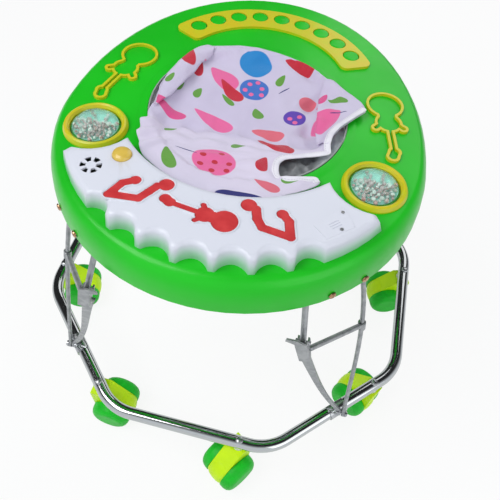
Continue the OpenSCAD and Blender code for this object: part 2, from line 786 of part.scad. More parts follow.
module battery_holder() {
  color("black") at_cells() difference() {
    translate([0, 0, 4.5]) cube([cell_l + 6, 26, 9], center = true);
    translate([0, 0, 9]) cube([cell_l + 2, 23, 14.6], center = true);
  }
}

module battery_cells() {
  color("gold") at_cells() for (s = [-1, 1])
    translate([0, s * 5.6, 1.7 + cell_r]) rotate([0, 90, 0]) cylinder(r = cell_r, h = cell_l, center = true, $fn = 32);
}

module battery_door() {
  color("white") difference() {
    translate([0, 0, panel_top - 1.6]) door_plate(0, 1.6);
    translate(concat(door_c, panel_top)) {
      for (p = door_screws) translate(concat(p, -10)) cylinder(r = 1.3, h = 20, $fn = 24);
      for (i = [-1:1]) rotate([0, 0, door_turn]) translate([0, i * 3, 0]) cube([12, 1, 1], center = true);
    }
  }
}

module panel_screws() {
  color("silver") translate(concat(door_c, panel_top)) for (p = door_screws) translate(concat(p, 0)) {
    cylinder(r = 1.9, h = 0.6, $fn = 24);
    translate([0, 0, -1.6]) cylinder(r = 1.2, h = 2, $fn = 24);
  }
}

button_stem = 5;

module push_button() {
  base = panel_top - 8;
  color("goldenrod") translate(concat(button_c, 0)) {
    translate([0, 0, base]) rotate_extrude($fn = 48)
      polygon([[0, 0], [button_r, 0], [button_r, 9], [button_r - 1.2, 11], [button_r - 4, 12.8], [0, 13.8]]);
    translate([0, 0, base - 5]) cylinder(r = button_stem, h = 6, $fn = 32);
  }
}

module button_spring() {
  turns = 4;
  lift = panel_top - 8 - 0.5 - deck_z;
  coil = [for (i = [0:turns * 12]) let (a = i * 30, z = 0.6 + (lift - 0.9) * i / (turns * 12))
    [8 * cos(a), 8 * sin(a), z]];
  color("silver") translate(concat(button_c, deck_z))
    loft([for (i = [0:len(coil) - 1])
      let (d = heading(coil, i), u = unit([coil[i][0], coil[i][1], 0]), v = unit(cross(d, u)))
        section(coil[i], u * 0.6, v * 0.6, 6)]);
}

// ---------- rattles, trims and seat ----------

module at_rattles() {
  both_sides() translate(concat(rattle_c, deck_z)) children();
}

dome_r = rattle_r - 8;
dome_h = 17;
bead_r = 3.4;

module rattle_rings() {
  color("gold") at_rattles() rotate_extrude($fn = 64)
    polygon([[dome_r + 0.1, 0], [rattle_r, 0], [rattle_r, 2], [rattle_r - 2, 6], [rattle_r - 4, 7],
      [rattle_r - 6, 6], [dome_r + 0.1, 3]]);
}

module rattle_domes() {
  s = (dome_r * dome_r + dome_h * dome_h) / (2 * dome_h);
  color("lightcyan", 0.4) at_rattles() {
    rotate_extrude($fn = 64) difference() {
      intersection() {
        translate([0, dome_h - s]) circle(r = s, $fn = 96);
        square([dome_r, dome_h]);
      }
      translate([0, dome_h - s]) circle(r = s - 1.5, $fn = 96);
    }
  }
}

module rattle_beads() {
  color("salmon") at_rattles() for (i = [0:beads - 1])
    let (a = i * 137.5, r = 19.5 * sqrt((i + 0.5) / beads))
      translate([r * cos(a), r * sin(a), bead_r]) sphere(r = bead_r, $fn = 20);
}

// Outline of a sector of a flat ring about +Y, with rounded corners.
function sector(r1, r2, half, c) =
  let (d1 = asin(c / (r1 + c)), d2 = asin(c / (r2 - c)), left = 90 + half, right = 90 - half)
    concat(arc([0, 0], r2, right + d2, left - d2, 30),
      arc((r2 - c) * ray(left - d2), c, left - d2 + 10, left + 90, 6),
      arc((r1 + c) * ray(left - d1), c, left + 100, left - d1 + 180, 5),
      arc([0, 0], r1, left - d1 - 2, right + d1 + 2, 24),
      arc((r1 + c) * ray(right + d1), c, right + d1 + 180, right + 260, 5),
      arc((r2 - c) * ray(right + d2), c, right + 270, right + d2 + 350, 6));

module rear_strip() {
  half = (strip_holes - 1) / 2 * strip_pitch + 11;
  color("gold") translate([0, 0, deck_z]) linear_extrude(height = trim_h) difference() {
    translate(strip_c) polygon(sector(strip_r - 24, strip_r + 18, half, 9));
    for (i = [0:strip_holes - 1]) translate(strip_hole(i)) circle(r = strip_hole_r, $fn = 48);
  }
}

module guitar_trims() {
  color("gold") both_sides() translate([168, 9, deck_z]) rotate([0, 0, 103]) linear_extrude(height = trim_h)
    difference() {
      guitar_shape(22.5, 16, 33, 50, 8, 2);
      guitar_shape(22.5, 16, 33, 50, 8, -4.5);
    }
}

// The seat is a sewn bag: its stiff edge hangs by a narrow lip on the bead, its
// wall narrows to the bottom, and there is one hole for each leg.
module seat() {
  rim_z = deck_z + lip_h;
  low = deck_z - seat_depth;
  r0 = opening_r - gap;
  levels = [[r0, rim_z + eps], [r0, deck_z - 30], [r0 - 8, deck_z - 70], [r0 - 22, low + 30],
    [r0 - 42, low + 8], [r0 - 66, low]];
  n = len(levels);
  color("lavender") translate(concat(opening_c, 0)) difference() {
    rotate_extrude($fn = 64) polygon(concat(
      [[0, low], [levels[n - 1][0], low]],
      [for (i = [n - 2:-1:1]) levels[i]],
      [[r0, rim_z], [r0 + lip_w / 2, rim_z], [r0 + lip_w / 2, rim_z + 1], [r0 - seat_wall, rim_z + 1]],
      [for (i = [1:n - 2]) levels[i] - [seat_wall, -seat_wall / 3]],
      [[levels[n - 1][0], low + seat_wall], [0, low + seat_wall]]));
    for (s = [-1, 1]) translate([s * 62, -75, low + 34]) rotate([35, s * 40, 0])
      cylinder(r = 40, h = 220, center = true, $fn = 48);
  }
}

// ---------- nodes ----------

base_ring();
caster_bolts();
caster_saddles();
foot_brackets();
foot_pins();
for (k = [0:7]) caster_hood(k);
for (k = [0:7]) caster_wheels(k);
leg_strip();  // leg_strip_right
leg_rod();  // leg_rod_right
knee_brace();  // knee_brace_right
rear_leg();  // rear_leg_right
lock_strut();  // lock_strut_right
mirror([1, 0, 0]) leg_strip();  // leg_strip_left
mirror([1, 0, 0]) leg_rod();  // leg_rod_left
mirror([1, 0, 0]) knee_brace();  // knee_brace_left
mirror([1, 0, 0]) rear_leg();  // rear_leg_left
mirror([1, 0, 0]) lock_strut();  // lock_strut_left
tray();
tray_hinges();
tray_rivets();
hinge_pins();
music_panel();
note_inlays();
guitar_inlay();
speaker();
circuit_board();
battery_holder();
battery_cells();
battery_door();
panel_screws();
push_button();
button_spring();
rattle_rings();
rattle_domes();
rattle_beads();
rear_strip();
guitar_trims();
seat();
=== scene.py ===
"""Looks for the round baby walker: moulded tray, printed seat, chromed ring and eight casters.

Places are in metres in the walker's own frame: +Z up, the front faces -Y, Z = 0 is the floor. The
cloth's outlines and heights are written in millimetres and scaled by MM.
"""

import json
import math

import bmesh
import bpy
from mathutils import Matrix, Vector, bvhtree, geometry, noise


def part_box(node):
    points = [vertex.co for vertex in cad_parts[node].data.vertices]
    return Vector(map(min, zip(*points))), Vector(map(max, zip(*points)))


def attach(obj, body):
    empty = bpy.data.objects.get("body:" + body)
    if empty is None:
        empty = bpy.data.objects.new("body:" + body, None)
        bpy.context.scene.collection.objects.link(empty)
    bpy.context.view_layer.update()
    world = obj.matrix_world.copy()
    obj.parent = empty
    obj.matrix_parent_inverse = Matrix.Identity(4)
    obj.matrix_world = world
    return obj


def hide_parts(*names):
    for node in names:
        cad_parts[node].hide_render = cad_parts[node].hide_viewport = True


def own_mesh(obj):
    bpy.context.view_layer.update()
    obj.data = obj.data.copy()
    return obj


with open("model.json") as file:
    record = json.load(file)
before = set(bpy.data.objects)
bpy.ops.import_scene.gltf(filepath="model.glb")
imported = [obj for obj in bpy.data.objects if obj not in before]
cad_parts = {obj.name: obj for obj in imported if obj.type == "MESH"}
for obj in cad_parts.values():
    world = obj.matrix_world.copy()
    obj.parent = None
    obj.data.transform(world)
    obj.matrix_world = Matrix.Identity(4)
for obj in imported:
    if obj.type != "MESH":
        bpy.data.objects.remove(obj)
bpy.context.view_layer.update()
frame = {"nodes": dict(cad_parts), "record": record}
nodes = frame["nodes"]
MM = 0.001


# ---------- camera and studio ----------
# The walker is seen from above its front, a little from the right, with the camera tipped.

azimuth, elevation, roll = math.radians(8.187), math.radians(54.593), math.radians(6.501)
back = Vector((math.sin(azimuth) * math.cos(elevation),
               -math.cos(azimuth) * math.cos(elevation), math.sin(elevation)))
level = Vector((math.cos(azimuth), math.sin(azimuth), 0))
rise = back.cross(level)
camera_x = math.cos(roll) * level + math.sin(roll) * rise
camera_y = math.cos(roll) * rise - math.sin(roll) * level
camera_data = bpy.data.cameras.new("camera")
camera_data.sensor_width = 36
camera_data.lens = 38.79
camera_data.clip_start = 0.01
camera = bpy.data.objects.new("camera", camera_data)
bpy.context.scene.collection.objects.link(camera)
camera.matrix_world = Matrix.Translation((0.0937, -0.5264, 0.9140)) @ Matrix(
    (camera_x, camera_y, back)).transposed().to_4x4()
bpy.context.scene.camera = camera
bpy.context.scene.view_settings.view_transform = "Standard"


class Signal:
    """A number, colour or shader on its way through a node tree."""

    def __init__(self, wiring, socket):
        self.wiring = wiring
        self.socket = socket

    def math(self, operation, a, b=0.0):
        return self.wiring.node("ShaderNodeMath", {"operation": operation}, {0: a, 1: b})

    def __add__(self, other):
        return self.math("ADD", self, other)

    def __sub__(self, other):
        return self.math("SUBTRACT", self, other)

    def __rsub__(self, other):
        return self.math("SUBTRACT", other, self)

    def __mul__(self, other):
        return self.math("MULTIPLY", self, other)

    def __truediv__(self, other):
        return self.math("DIVIDE", self, other)

    def __abs__(self):
        return self.math("ABSOLUTE", self)

    def most(self, other):
        return self.math("MAXIMUM", self, other)

    def ease(self, low, high):
        """0 below low, 1 above high, smooth between; low may be the larger."""
        return self.wiring.node("ShaderNodeMapRange", {"interpolation_type": "SMOOTHSTEP"},
                                {"Value": self, "From Min": low, "From Max": high})


class Wiring:
    """A node tree and the one way in which nodes are added to it."""

    def __init__(self, tree):
        self.tree = tree

    def node(self, kind, settings, values, output=0):
        """Adds a node and returns one of its outputs."""
        made = self.tree.nodes.new(kind)
        for setting, value in settings.items():
            setattr(made, setting, value)
        for socket, value in values.items():
            if isinstance(value, Signal):
                self.tree.links.new(value.socket, made.inputs[socket])
            else:
                made.inputs[socket].default_value = value
        return Signal(self, made.outputs[output])

    def rays(self, *kinds):
        """For each kind of ray, such as Camera, a signal that is 1 on such rays and else 0."""
        outputs = self.node("ShaderNodeLightPath", {}, {}).socket.node.outputs
        return [Signal(self, outputs[f"Is {kind} Ray"]) for kind in kinds]

    def show(self, factor, first, second):
        """Ends the tree in a mix of two shaders."""
        mixed = self.node("ShaderNodeMixShader", {}, {0: factor, 1: first, 2: second})
        self.tree.links.new(mixed.socket, self.tree.get_output_node("ALL").inputs["Surface"])


class Finish(Wiring):
    """A material with one Principled shader; constants are set on the shader itself."""

    def __init__(self, name, **constants):
        self.material = bpy.data.materials.new(name)
        self.material.use_nodes = True
        super().__init__(self.material.node_tree)
        self.shader = self.tree.nodes["Principled BSDF"]
        for socket, value in constants.items():
            self.shader.inputs[socket.replace("_", " ")].default_value = value

    def feed(self, socket, signal):
        self.tree.links.new(signal.socket, self.shader.inputs[socket])

    def place(self):
        return self.node("ShaderNodeTexCoord", {}, {}, "Object")

    def parts(self, vector):
        split = self.node("ShaderNodeSeparateXYZ", {}, {"Vector": vector})
        outputs = split.socket.node.outputs
        return [Signal(self, outputs[i]) for i in range(3)]

    def noise(self, scale, detail=2.0, roughness=0.5, vector=None):
        values = {"Scale": scale, "Detail": detail, "Roughness": roughness,
                  "Vector": vector or self.place()}
        return self.node("ShaderNodeTexNoise", {}, values)

    def mix(self, factor, a, b):
        made = self.tree.nodes.new("ShaderNodeMix")
        made.data_type = "RGBA"
        sockets = [s for s in made.inputs if s.enabled]
        for socket, value in zip(sockets, (factor, a, b)):
            if isinstance(value, Signal):
                self.tree.links.new(value.socket, socket)
            else:
                socket.default_value = (*value, 1) if isinstance(value, tuple) else value
        return Signal(self, next(s for s in made.outputs if s.enabled))

    def mottle(self, scale, first, second, detail=3, low=0.3, high=0.7):
        """A base colour that wanders between two close colours."""
        self.feed("Base Color", self.mix(self.noise(scale, detail).ease(low, high), first, second))

    def scuff(self, scale, detail, least, most, low=0.2, high=0.9):
        """A roughness that wanders between two values."""
        self.feed("Roughness", self.noise(scale, detail).ease(low, high) * (most - least) + least)

    def bump(self, height, strength, distance):
        self.feed("Normal", self.node("ShaderNodeBump", {}, {
            "Height": height, "Strength": strength, "Distance": distance}))

    def on(self, *pieces):
        """Puts the finish on pieces, and on CAD nodes by name."""
        for piece in pieces:
            mesh = nodes.get(piece, piece).data
            mesh.materials.clear()
            mesh.materials.append(self.material)


def linear(red, green, blue):
    """A display colour, 0 to 255, as the linear colour that shaders take."""
    return tuple(c / 12.92 if c <= 0.04045 else ((c + 0.055) / 1.055) ** 2.4
                 for c in (red / 255, green / 255, blue / 255))


# A pale sweep of floor. Seen directly or in a reflection it is near white, and it keeps the shadow.
floor_finish = Finish("studio_floor", Base_Color=(*linear(240, 241, 243), 1), Roughness=0.9)
camera_ray, glossy_ray, clear_ray = floor_finish.rays("Camera", "Glossy", "Transmission")
seen = (camera_ray * 0.88).most(glossy_ray * 0.5).most(clear_ray * 0.6)
glow = floor_finish.node("ShaderNodeEmission", {}, {"Color": (1, 1, 1, 1), "Strength": 1.0})
floor_finish.show(seen, Signal(floor_finish, floor_finish.shader.outputs[0]), glow)
bpy.ops.mesh.primitive_circle_add(vertices=64, radius=6, fill_type="NGON", location=(0, 0, 0))
floor = bpy.context.object
floor.name = "studio_floor"
floor.data.materials.append(floor_finish.material)

# The sky is a soft light that looks white. In reflections the studio is a dark ceiling and back
# wall, and a bright front at eye height.
world = bpy.data.worlds.new("studio")
bpy.context.scene.world = world
world.use_nodes = True
world.node_tree.nodes.remove(world.node_tree.nodes["Background"])
sky = Wiring(world.node_tree)
daylight, dark_way = (0.93, 0.96, 1.0, 1), (-0.25, 0.62, 0.74)
camera_ray, glossy_ray, clear_ray = sky.rays("Camera", "Glossy", "Transmission")
outward = sky.node("ShaderNodeTexCoord", {}, {}, "Generated")
darkness = sky.node("ShaderNodeVectorMath", {"operation": "DOT_PRODUCT"}, {0: outward, 1: dark_way}, "Value")
mirrored = darkness.ease(0.55, -0.25) * 0.92 + 0.03
dim, mirror, white = (sky.node("ShaderNodeBackground", {}, {"Color": colour, "Strength": strength})
                      for colour, strength in ((daylight, 0.5), (daylight, mirrored), ((1, 1, 1, 1), 1.0)))
unseen = sky.node("ShaderNodeMixShader", {}, {0: glossy_ray, 1: dim, 2: mirror})
sky.show(camera_ray.most(clear_ray), unseen, white)


def softbox(name, place, target, size, watts):
    """A square area lamp that faces a point."""
    data = bpy.data.lights.new(name, "AREA")
    data.size = size
    data.energy = watts
    lamp = bpy.data.objects.new(name, data)
    bpy.context.scene.collection.objects.link(lamp)
    lamp.location = place
    lamp.rotation_euler = (Vector(place) - Vector(target)).to_track_quat("Z", "Y").to_euler()


softbox("key_softbox", (-0.9, -0.7, 1.9), (0, -0.05, 0.4), 1.1, 19)
softbox("fill_softbox", (1.5, -1.2, 1.2), (0, 0, 0.3), 1.4, 8)
softbox("rear_softbox", (0.6, 1.6, 1.5), (0, 0, 0.3), 1.4, 8)


# ---------- moulded plastics ----------
# The tray is one injection-moulded shell in bright green: smooth and glossy, with a trace of
# flow in the skin and fine scuffs from handling.

body_of_node = {node: body for body, members in frame["record"]["behaviour"]["bodies"].items()
                for node in members}


def pick(piece):
    """Makes a piece the active object, with nothing else selected."""
    bpy.ops.object.select_all(action="DESELECT")
    piece.select_set(True)
    bpy.context.view_layer.objects.active = piece


def smoothed(name, angle=32):
    """A copy of a CAD node, welded and shaded smooth up to an angle in degrees, that stands for it."""
    piece = bpy.data.objects.new(name + "_skin", nodes[name].data.copy())
    bpy.context.scene.collection.objects.link(piece)
    welded = bmesh.new()
    welded.from_mesh(piece.data)
    bmesh.ops.remove_doubles(welded, verts=welded.verts, dist=1e-6)
    welded.to_mesh(piece.data)
    welded.free()
    pick(piece)
    bpy.ops.object.shade_smooth_by_angle(angle=math.radians(angle))
    flats = piece.modifiers.new("flats", "WEIGHTED_NORMAL")
    flats.weight = 100
    flats.keep_sharp = True
    bpy.ops.object.modifier_apply(modifier=flats.name)
    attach(piece, body_of_node[name])
    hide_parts(name)
    nodes[name] = piece


smoothed("tray", 28)
smoothed("music_panel", 40)
smoothed("button_spring", 50)
leg_pieces = [f"{name}_{side}" for side in ("right", "left")
              for name in ("leg_strip", "leg_rod", "knee_brace", "rear_leg", "lock_strut")]
for name in leg_pieces:
    smoothed(name)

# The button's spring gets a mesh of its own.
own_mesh(nodes["button_spring"])

tray_finish = Finish("tray_green", Specular_IOR_Level=0.3, Coat_Weight=0.1, Coat_Roughness=0.15)
tray_finish.mottle(9, linear(22, 186, 26), linear(26, 198, 30), high=0.75)
tray_finish.scuff(60, 4, 0.28, 0.42)
tray_finish.bump(tray_finish.noise(28, 2), 0.05, 0.002)
tray_finish.on("tray")

panel_finish = Finish("panel_white", Roughness=0.34, Coat_Weight=0.2, Coat_Roughness=0.15)
_, _, panel_height = panel_finish.parts(panel_finish.place())
# The green towards the panel's foot is a painted reflection of the green tray round it; the panel itself is
# white.
painted_green_reflection = panel_height.ease(0.4985, 0.478)
panel_finish.feed("Base Color", panel_finish.mix(painted_green_reflection, linear(219, 222, 233), linear(150, 206, 168)))
panel_finish.bump(panel_finish.noise(40, 2), 0.04, 0.002)
panel_finish.on("music_panel", "battery_door")

inlay_finish = Finish("inlay_red", Roughness=0.42)
inlay_finish.mottle(60, linear(196, 40, 46), linear(212, 58, 60))
inlay_finish.on("note_inlays", "guitar_inlay")

trim_finish = Finish("trim_yellow", Roughness=0.36, Coat_Weight=0.15)
trim_finish.mottle(45, linear(214, 196, 20), linear(200, 204, 24))
trim_finish.on("rattle_rings", "rear_strip", "guitar_trims")

button_finish = Finish("button_amber", Roughness=0.3, Coat_Weight=0.3)
button_finish.mottle(90, linear(222, 190, 84), linear(214, 180, 70), detail=2)
button_finish.on("push_button")

hood_finish = Finish("hood_lime", Roughness=0.4, Specular_IOR_Level=0.35)
hood_finish.mottle(40, linear(204, 246, 8), linear(212, 252, 6))
hood_finish.on(*[f"caster_hood_{k}" for k in range(1, 9)])

wheel_finish = Finish("wheel_green", Roughness=0.45, Specular_IOR_Level=0.3)
wheel_finish.mottle(50, linear(14, 184, 34), linear(20, 198, 40))
wheel_finish.on(*[f"caster_wheels_{k}" for k in range(1, 9)])

saddle_finish = Finish("saddle_white", Roughness=0.5)
saddle_finish.mottle(70, linear(226, 228, 226), linear(214, 217, 214), detail=2)
saddle_finish.on("caster_saddles")


# ---------- metal ----------
# The ring is bright chromed steel tube. The leg frame is plated steel with a dull grey skin.

chrome_finish = Finish("ring_chrome", Metallic=1.0, Base_Color=(*linear(192, 195, 196), 1))
chrome_finish.scuff(120, 4, 0.06, 0.16, low=0.25, high=0.85)
chrome_finish.bump(chrome_finish.noise(55, 3), 0.03, 0.001)
chrome_finish.on("base_ring")

zinc_finish = Finish("zinc_steel", Metallic=1.0)
zinc_finish.mottle(160, linear(190, 192, 194), linear(165, 168, 172), detail=4)
zinc_finish.scuff(90, 3, 0.22, 0.42)
zinc_finish.on("caster_bolts", "foot_brackets", "foot_pins", "tray_hinges", "hinge_pins",
               "panel_screws", "button_spring")

copper_finish = Finish("rivet_copper", Metallic=1.0)
copper_finish.mottle(300, linear(206, 168, 130), linear(150, 110, 86), low=0.35, high=0.65)
copper_finish.scuff(200, 3, 0.25, 0.45)
copper_finish.on("tray_rivets")

leg_finish = Finish("leg_grey", Metallic=0.65)
leg_finish.mottle(130, linear(172, 174, 176), linear(146, 149, 152), detail=4)
leg_finish.scuff(80, 3, 0.3, 0.5)
leg_finish.on(*leg_pieces)


# ---------- inside the panel ----------
# Speaker, board, holder and cells sit under the panel and show only through its slots.

dark_finish = Finish("electronics", Roughness=0.6)
dark_finish.mottle(200, linear(30, 32, 34), linear(46, 48, 50), detail=2, low=0.4, high=0.6)
dark_finish.on("speaker", "battery_holder")
board_finish = Finish("circuit_board", Roughness=0.5)
board_finish.mottle(300, linear(18, 80, 40), linear(26, 98, 52), detail=2, low=0.45, high=0.55)
board_finish.on("circuit_board")
cell_finish = Finish("battery_cell", Roughness=0.35, Metallic=0.4)
cell_finish.mottle(100, linear(186, 150, 50), linear(170, 136, 44), detail=2, low=0.4, high=0.6)
cell_finish.on("battery_cells")


# ---------- rattles ----------
# A rattle is a clear blown dome in a yellow ring on the deck. Loose beads of three pale colours lie
# under it on a thin cup with a low turned-up edge, which keeps them off the deck.

ring_low, ring_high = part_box("rattle_rings")
rattle_y, deck = (ring_low[1] + ring_high[1]) / 2, ring_low[2]
rattle_x = ring_high[0] - (ring_high[1] - ring_low[1]) / 2
rattle_sides = ((1, "right"), (-1, "left"))

dome_finish = Finish("dome_clear", Transmission_Weight=0.9, IOR=1.1, Alpha=0.6,
                     Base_Color=(*linear(214, 240, 236), 1))
dome_finish.scuff(60, 3, 0.02, 0.08)
dome_finish.on("rattle_domes")
bead_finish = Finish("bead_mix", Roughness=0.3)
bead_shade = bead_finish.noise(140, 0)
bead_colour = bead_finish.mix(bead_shade.ease(0.46, 0.5), linear(206, 176, 176), linear(176, 140, 132))
bead_colour = bead_finish.mix(bead_shade.ease(0.56, 0.6), bead_colour, linear(232, 226, 222))
bead_finish.feed("Base Color", bead_colour)


def new_piece(name, shape, *finishes):
    """An object made of a bmesh, or of points and faces, in its finishes."""
    mesh = bpy.data.meshes.new(name)
    if isinstance(shape, bmesh.types.BMesh):
        shape.to_mesh(mesh)
        shape.free()
    else:
        mesh.from_pydata(shape[0], [], shape[1])
    piece = bpy.data.objects.new(name, mesh)
    bpy.context.scene.collection.objects.link(piece)
    for finish in finishes:
        mesh.materials.append(finish.material)
    return piece


# The beads spread in a spiral, two deep near the middle, and have run to the front of the cup.
bead_places, golden_turn, heap_radius, bead_layer = 64, 2.39996, 0.0242, 0.004
for side, name in rattle_sides:
    pile = bmesh.new()
    for i in range(bead_places):
        turn, reach = i * golden_turn, heap_radius * math.sqrt((i + 0.5) / bead_places)
        x, y = reach * math.cos(turn), reach * math.sin(turn)
        if y > 0.009 and i % 3:
            continue
        for layer in range(2 if reach < 0.015 and y < 0.004 else 1):
            radius = 0.0023 + 0.0004 * math.sin(i * 5.1)
            grain = bmesh.ops.create_icosphere(pile, subdivisions=2, radius=radius)
            place = (side * rattle_x + x + layer * 0.0013, rattle_y - 0.0012 + y,
                     deck + 0.0033 + layer * bead_layer)
            bmesh.ops.translate(pile, verts=grain["verts"], vec=place)
    grains = new_piece(f"rattle_grains_{name}", pile, bead_finish)
    for face in grains.data.polygons:
        face.use_smooth = True
    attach(grains, "tray")
    if side == 1:
        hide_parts("rattle_beads")

cup_finish = Finish("rattle_cup", Roughness=0.35)
cup_finish.mottle(50, linear(150, 212, 196), linear(170, 222, 208), detail=2)
cup_radius = 0.0262
for side, name in rattle_sides:
    middle = Vector((side * rattle_x, rattle_y, deck + 0.0002))
    bpy.ops.object.select_all(action="DESELECT")
    bpy.ops.mesh.primitive_circle_add(vertices=64, radius=cup_radius, fill_type="NGON", location=middle)
    cup = bpy.context.object
    cup.name = f"rattle_cup_{name}"
    bpy.ops.object.mode_set(mode="EDIT")
    bpy.ops.mesh.inset(thickness=0.002)
    bpy.ops.mesh.inset(thickness=0.006)
    bpy.ops.object.mode_set(mode="OBJECT")
    bpy.ops.object.transform_apply(location=True)
    for vertex in cup.data.vertices:
        if (vertex.co - middle).length > cup_radius - 0.0007:
            vertex.co.z += 0.0025
    solid = cup.modifiers.new("solid", "SOLIDIFY")
    solid.thickness = 0.0003
    solid.offset = 1
    bpy.ops.object.modifier_apply(modifier=solid.name)
    bpy.ops.object.shade_smooth_by_angle(angle=math.radians(40))
    cup.data.materials.append(cup_finish.material)
    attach(cup, "tray")


# ---------- seat cover ----------
# The cover is printed cotton cut larger than the opening, so it lies slack in creases. It is sewn
# to the bag at the rim, gathered at the left, and has one bound leg opening at the right.

seat_low, seat_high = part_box("seat")
opening = Vector((0, (seat_low[1] + seat_high[1]) / 2))

# Where the cover's edge comes to lie, in millimetres, anticlockwise from the left of the front.
cover_front = [(-93, -132, 483), (-80, -141, 484), (-66, -149, 484), (-48, -158, 483), (-26, -164, 482),
               (0, -166.5, 482), (26, -164, 482), (46, -157, 483), (65, -147, 484), (83, -136, 485),
               (97, -125, 485), (103, -117, 485)]
cover_opening = [(98, -108, 483), (80, -113, 481), (66, -117, 479), (58, -115, 478), (54, -104, 477),
                 (53, -93, 477), (58, -86, 478), (75, -80, 480), (92, -74, 481), (108, -68, 483)]
cover_corner = [(104, -56, 484), (105, -40, 485), (112, -24, 486), (126, -4, 487), (139, 15, 486)]
cover_back = [(131, 28, 485), (119, 39, 484), (106, 48, 483), (89, 61, 481), (76, 71, 474), (62, 82, 468),
              (51, 88, 476), (32, 94, 482), (11, 99, 483), (-17, 102, 483), (-40, 98, 484), (-58, 91, 484),
              (-80, 83, 484), (-93, 70, 484), (-101, 53, 484), (-107, 36, 483), (-113, 13, 482),
              (-115, -12, 481), (-112, -43, 481), (-113, -62, 482), (-109, -72, 484), (-115, -82, 484),
              (-110, -92, 486), (-112, -103, 484), (-104, -113, 486), (-101, -123, 483)]
# Heights that the body of the cover settles towards.
cover_heights = [(0, 78, 474), (-60, 60, 473), (0, 45, 469), (-70, 25, 470), (55, 45, 466), (-35, 8, 464),
                 (20, 5, 462), (60, 0, 463), (-80, -28, 466), (-84, -58, 467), (-60, -52, 461),
                 (-30, -46, 459), (10, -44, 459), (36, -46, 459), (-64, -68, 472), (-30, -62, 470),
                 (10, -60, 470), (38, -64, 471), (72, -40, 464), (78, -12, 452), (74, 30, 456),
                 (84, -36, 460), (86, -8, 474), (83, 28, 474), (98, 12, 480), (112, 22, 486),
                 (-70, -92, 480), (-30, -82, 479), (12, -82, 479), (40, -84, 479), (-66, -118, 483),
                 (-20, -110, 485), (22, -110, 485), (48, -128, 484), (-20, -134, 486), (22, -134, 486),
                 (-40, -142, 486), (0, -146, 486), (40, -142, 486), (82, -122, 486)]
gather = Vector((-104, -95))


def spaced(points, step):
    """The same path with its points a step apart."""
    placed = [Vector(p) for p in points]
    lengths = [0.0]
    for a, b in zip(placed, placed[1:]):
        lengths.append(lengths[-1] + (b - a).length)
    count = max(1, round(lengths[-1] / step))
    made, k = [], 0
    for i in range(count):
        reach = lengths[-1] * i / count
        while lengths[k + 1] < reach:
            k += 1
        made.append(placed[k].lerp(placed[k + 1], (reach - lengths[k]) / (lengths[k + 1] - lengths[k])))
    return made


def cloth_net(edge, step):
    """Corners and triangles that fill a closed edge, with the edge's own points first."""
    flat = [Vector((p.x, p.y)) for p in edge]
    count = len(flat)
    xs, ys = [p.x for p in flat], [p.y for p in flat]
    inner = []
    # Rows of a triangular grid, kept where a point is inside the edge and not too near it.
    for row in range(int((max(ys) - min(ys)) / (step * 0.866)) + 1):
        for column in range(int((max(xs) - min(xs)) / step) + 2):
            p = Vector((min(xs) + (column + 0.5 * (row % 2)) * step, min(ys) + row * step * 0.866))
            crossings, near = 0, 1e9
            for a, b in zip(flat, flat[1:] + flat[:1]):
                if (a.y > p.y) != (b.y > p.y) and p.x < a.x + (p.y - a.y) / (b.y - a.y) * (b.x - a.x):
                    crossings += 1
                run = b - a
                near = min(near, (a + run * max(0, min(1, (p - a).dot(run) / run.length_squared)) - p).length)
            if crossings % 2 and near > step * 0.55:
                inner.append(p)
    rim = [(i, (i + 1) % count) for i in range(count)]
    corners, _, triangles, _, _, _ = geometry.delaunay_2d_cdt(flat + inner, rim, [], 1, 1e-6)
    return corners, triangles


cover_rim = [*cover_front, *cover_opening, *cover_corner, *cover_back, cover_front[0]]
cover_edge = spaced(cover_rim, 4.2)
corners, triangles = cloth_net(cover_edge, 4.2)
known = [(Vector(p[:2]), p[2]) for p in cover_edge] + [(Vector(p[:2]), p[2]) for p in cover_heights]


def resting_height(p):
    """The known heights round p, averaged by nearness; the body's few heights count for more."""
    edge_count = len(cover_edge)
    weights = [(1 if i < edge_count else 9) / ((p - q).length_squared + 9) ** 2
               for i, (q, _) in enumerate(known)]
    return sum(weight * z for weight, (_, z) in zip(weights, known)) / sum(weights)


placed = [Vector((p.x, p.y, cover_edge[i].z if i < len(cover_edge) else resting_height(p)))
          for i, p in enumerate(corners)]
seat_cover = new_piece("seat_cover", ([p * MM for p in placed], triangles))
cover_mesh = seat_cover.data


def as_cut(p):
    """Where a point of the cover was on the flat cloth, before it was gathered and sewn in."""
    flat = Vector((p.x, p.y))
    away = flat - gather
    flat = gather + away * (1 + 0.45 * math.exp(-(away.length / 50) ** 2))
    # The cloth is cut 6% wider and 7.5% longer than what it covers.
    return Vector((flat.x * 1.06, (flat.y + 20) * 1.075 - 20))


cut_layer = cover_mesh.uv_layers.new(name="cut")
for loop in cover_mesh.loops:
    cut_layer.data[loop.index].uv = as_cut(placed[loop.vertex_index]) * MM + Vector((0.5, 0.5))
seat_cover.shape_key_add(name="sewn")
cut_key = seat_cover.shape_key_add(name="cut")
for i, p in enumerate(placed):
    flat = as_cut(p)
    cut_key.data[i].co = Vector((flat.x, flat.y, p.z)) * MM
held = seat_cover.vertex_groups.new(name="held")
held.add(range(len(cover_edge)), 1.0, "REPLACE")
held.add(range(len(cover_edge), len(corners)), 0.025, "REPLACE")
cut_key.value = 0
cloth = seat_cover.modifiers.new("cloth", "CLOTH")
cloth.settings.quality = 7
cloth.settings.mass = 0.15
cloth.settings.air_damping = 3
cloth.settings.tension_stiffness = 40
cloth.settings.compression_stiffness = 40
cloth.settings.shear_stiffness = 12
cloth.settings.bending_stiffness = 0.35
cloth.settings.vertex_group_mass = "held"
cloth.settings.pin_stiffness = 0.6
cloth.settings.rest_shape_key = cut_key
cloth.settings.effector_weights.gravity = 0.15
cloth.collision_settings.use_collision = False
cloth.point_cache.frame_end = 40
for step in range(1, 41):
    bpy.context.scene.frame_set(step)
